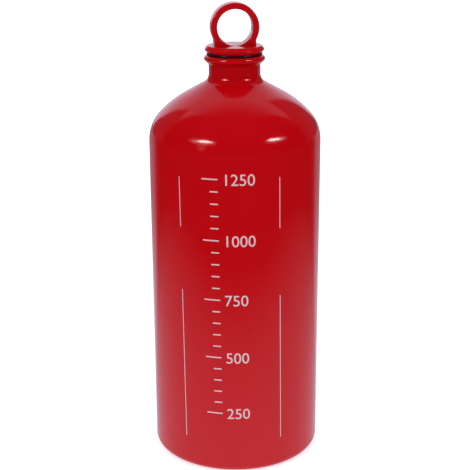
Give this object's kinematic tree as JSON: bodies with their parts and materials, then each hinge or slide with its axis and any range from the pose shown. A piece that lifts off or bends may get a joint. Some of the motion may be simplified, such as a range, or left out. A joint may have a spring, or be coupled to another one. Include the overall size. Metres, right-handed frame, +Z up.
{
  "type": "camping fuel bottle",
  "caption": "Tall red-painted aluminium fuel bottle with a domed shoulder, rolled lip and a screw stopper that carries a round loop.",
  "frame": {"origin": "centre of the base, on the plane of the standing ring", "axes": "+Z up along the bottle's axis; -Y towards the viewer of the loop's open face, which is turned 6 degrees towards +X"},
  "size_m": [0.098, 0.098, 0.264],
  "materials": {
    "red_paint": "glossy red enamel over aluminium",
    "bare_aluminium": "turned, uncoated",
    "black_rubber": "smooth, slightly shiny"
  },
  "bodies": {
    "bottle": {"bottle_shell": "red_paint", "threaded_collar": "bare_aluminium"},
    "seal": {"sealing_ring": "black_rubber"},
    "stopper": {"stopper": "red_paint"}
  },
  "joints": [
    {"name": "stopper_rise", "type": "slide", "parent": "bottle", "child": "seal", "axis": [0, 0, 1], "range_m": [0, 0.018]},
    {"name": "stopper_turn", "type": "hinge", "parent": "seal", "child": "stopper", "pos_m": [0, 0, 0.235], "axis": [0, 0, 1], "range_deg": [0, 2160]}
  ],
  "couplings": [
    {"joint": "stopper_rise", "follows": "stopper_turn", "m_per_rad": 0.00047746}
  ]
}
